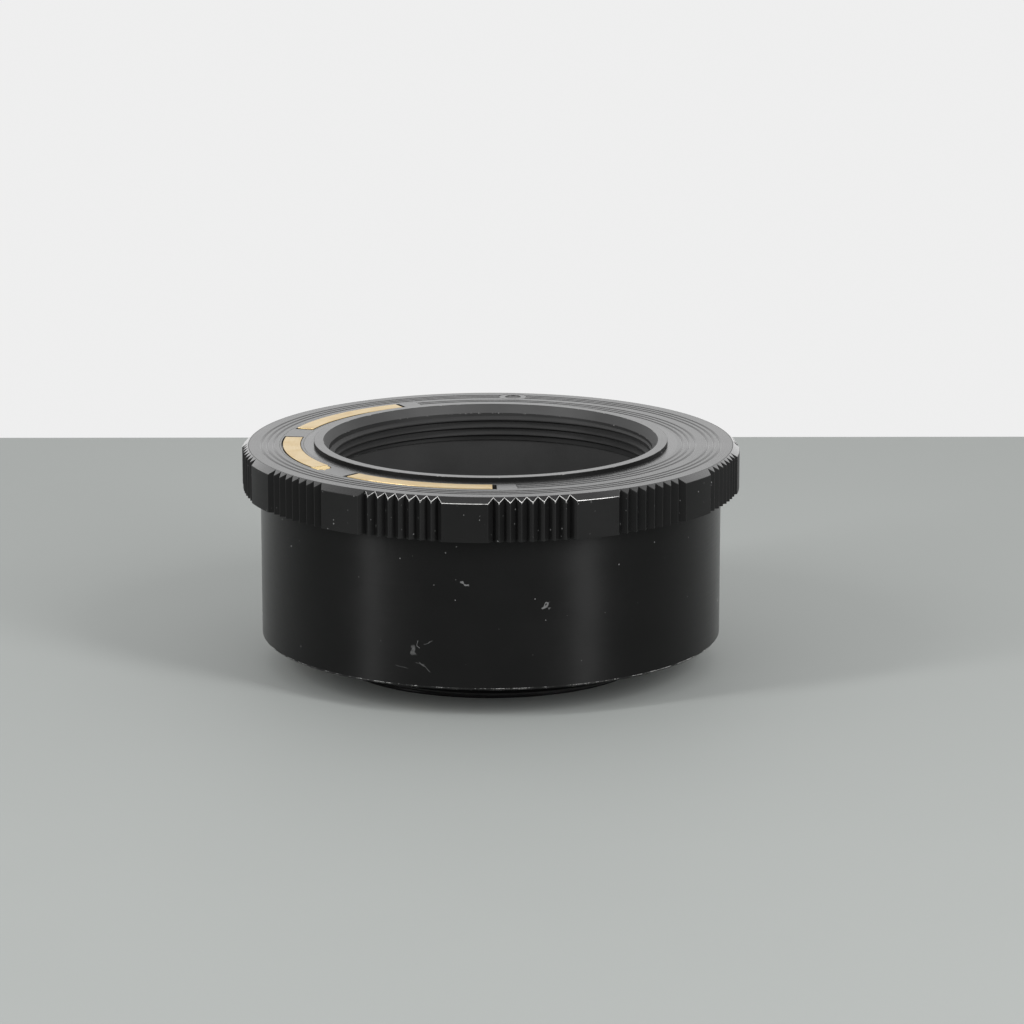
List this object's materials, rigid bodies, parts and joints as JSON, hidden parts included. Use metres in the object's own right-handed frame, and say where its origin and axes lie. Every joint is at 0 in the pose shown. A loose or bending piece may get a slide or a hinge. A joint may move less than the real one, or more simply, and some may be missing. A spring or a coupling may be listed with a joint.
{
  "type": "macro extension tube",
  "caption": "Short macro extension tube: knurled front ring with a female screw thread and gilt contact arcs, plain barrel, male threaded foot with sprung contact pins.",
  "frame": {"origin": "centre of the foot, the end face of the male thread that the tube stands on", "axes": "+Z along the optical axis towards the lens; +Y towards the index bead; the release rod is on the -Y side"},
  "size_m": [0.0648, 0.0648, 0.0294],
  "materials": {
    "barrel_black": "satin black anodised",
    "ring_black": "satin black anodised, worn edges",
    "index_black": "smooth black bead with a dark painted dot",
    "thread_black": "satin black anodised",
    "baffle_black": "matt black paint",
    "carrier_plastic": "black moulded insulator",
    "arc_gilt": "gilt, fine circular brushing",
    "pin_gilt": "gilt, polished dome",
    "rod_brass": "turned brass",
    "bush_plastic": "dark brown moulded insulator",
    "spring_steel": "drawn spring wire",
    "release_steel": "ground steel",
    "screw_steel": "plain steel screw",
    "guide_brass": "blackened brass strip"
  },
  "bodies": {
    "tube": {"barrel": "barrel_black", "front_ring": "ring_black", "index_bead": "index_black", "front_thread_ring": "thread_black", "inner_sleeve": "baffle_black", "contact_carrier": "carrier_plastic", "release_spring": "spring_steel", "release_guide": "guide_brass", "release_guide_screws": "screw_steel", "contact_arc_back": "arc_gilt", "contact_rod_back": "rod_brass", "contact_bush_back": "bush_plastic", "contact_spring_back": "spring_steel", "contact_arc_side": "arc_gilt", "contact_rod_side": "rod_brass", "contact_bush_side": "bush_plastic", "contact_spring_side": "spring_steel", "contact_arc_front": "arc_gilt", "contact_rod_front": "rod_brass", "contact_bush_front": "bush_plastic", "contact_spring_front": "spring_steel"},
    "pin_back": {"contact_pin_back": "pin_gilt"},
    "pin_side": {"contact_pin_side": "pin_gilt"},
    "pin_front": {"contact_pin_front": "pin_gilt"},
    "release": {"release_rod": "release_steel", "release_plate": "release_steel", "release_plate_screw": "screw_steel"}
  },
  "joints": [
    {"name": "pin_back_slide", "type": "slide", "parent": "tube", "child": "pin_back", "axis": [0, 0, 1], "range_m": [0, 0.0008], "stiffness_N_per_m": 300, "springref_m": -0.001, "deforming": ["contact_spring_back"]},
    {"name": "pin_side_slide", "type": "slide", "parent": "tube", "child": "pin_side", "axis": [0, 0, 1], "range_m": [0, 0.0008], "stiffness_N_per_m": 300, "springref_m": -0.001, "deforming": ["contact_spring_side"]},
    {"name": "pin_front_slide", "type": "slide", "parent": "tube", "child": "pin_front", "axis": [0, 0, 1], "range_m": [0, 0.0008], "stiffness_N_per_m": 300, "springref_m": -0.001, "deforming": ["contact_spring_front"]},
    {"name": "release_slide", "type": "slide", "parent": "tube", "child": "release", "axis": [0, 0, 1], "range_m": [0, 0.0035], "stiffness_N_per_m": 250, "springref_m": -0.003, "deforming": ["release_spring"]}
  ]
}
